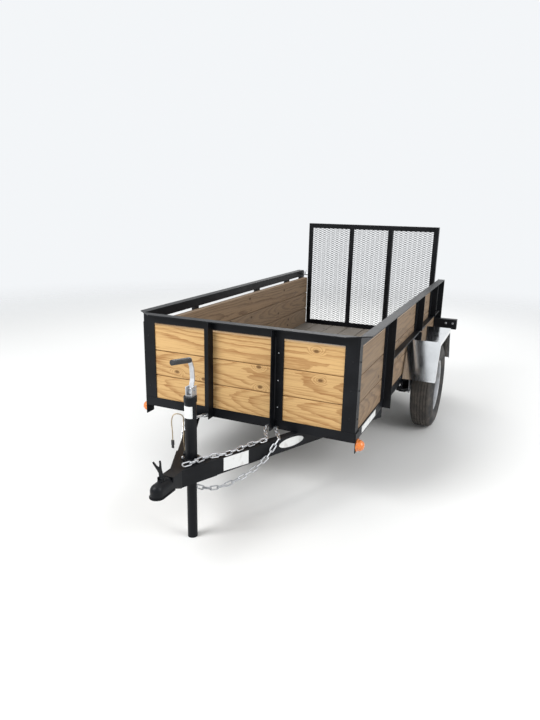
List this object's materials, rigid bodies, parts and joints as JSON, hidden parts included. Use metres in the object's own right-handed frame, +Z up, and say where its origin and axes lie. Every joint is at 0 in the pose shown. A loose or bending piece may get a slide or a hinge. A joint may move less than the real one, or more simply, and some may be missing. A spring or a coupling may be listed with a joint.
{
  "type": "utility trailer",
  "caption": "Single-axle utility trailer with wooden sides, fold-down expanded-metal ramp gate, polished fenders and a tongue jack.",
  "frame": {"origin": "on the ground, under the middle of the trailer's length and width", "axes": "+Y rearwards along the trailer's length, +X to the trailer's left side, +Z up"},
  "size_m": [1.662, 3.3164, 1.352],
  "materials": {
    "black_paint": "semi-gloss",
    "pine": "treated yellow pine",
    "board": "weathered pine",
    "deck": "grey weathered pine",
    "bright_aluminium": "polished",
    "zinc": "zinc plated",
    "wheel_paint": "silver",
    "tyre": "dusty rubber",
    "grip": "matte",
    "cord_cover": "matte jacket",
    "plug_plastic": "matte",
    "red_lens": "clear red",
    "amber_lens": "clear amber"
  },
  "bodies": {
    "chassis": {"side_rails": "black_paint", "end_rails": "black_paint", "crossmembers": "black_paint", "tongue_legs": "black_paint", "coupler": "black_paint", "coupler_latch": "zinc", "jack_housing": "black_paint", "jack_crank": "zinc", "jack_grip": "grip", "top_rail_front": "black_paint", "top_rails": "black_paint", "mid_rails": "black_paint", "corner_posts": "black_paint", "front_posts": "black_paint", "side_posts": "black_paint", "front_boards": "pine", "side_boards": "board", "deck_boards": "deck", "axle": "black_paint", "u_bolts": "zinc", "springs": "black_paint", "spring_hangers": "black_paint", "lamp_brackets": "black_paint", "tail_lamps": "red_lens", "marker_plates": "black_paint", "chain_slung": "zinc", "chain_laid": "zinc", "harness": "cord_cover", "harness_plug": "plug_plastic", "marker_lamps": "amber_lens", "gate_hinges": "black_paint", "latch_keepers": "black_paint", "fender_left": "bright_aluminium", "fender_right": "bright_aluminium"},
    "jack_leg": {"jack_leg": "black_paint"},
    "gate": {"gate_frame": "black_paint", "gate_mesh": "black_paint", "gate_knuckles": "black_paint", "gate_latches": "zinc"},
    "wheel_left": {"tyre_left": "tyre", "rim_left": "wheel_paint", "hub_left": "black_paint"},
    "wheel_right": {"tyre_right": "tyre", "rim_right": "wheel_paint", "hub_right": "black_paint"}
  },
  "joints": [
    {"name": "wheel_left_spin", "type": "hinge", "parent": "chassis", "child": "wheel_left", "pos_m": [0.74, 0.61475, 0.302], "axis": [1, 0, 0], "continuous": true},
    {"name": "wheel_right_spin", "type": "hinge", "parent": "chassis", "child": "wheel_right", "pos_m": [-0.74, 0.61475, 0.302], "axis": [1, 0, 0], "continuous": true},
    {"name": "gate_hinge", "type": "hinge", "parent": "chassis", "child": "gate", "pos_m": [0, 1.62375, 0.412], "axis": [-1, 0, 0], "range_deg": [0, 112]},
    {"name": "jack_slide", "type": "slide", "parent": "chassis", "child": "jack_leg", "axis": [0, 0, 1], "range_m": [0, 0.25]}
  ]
}
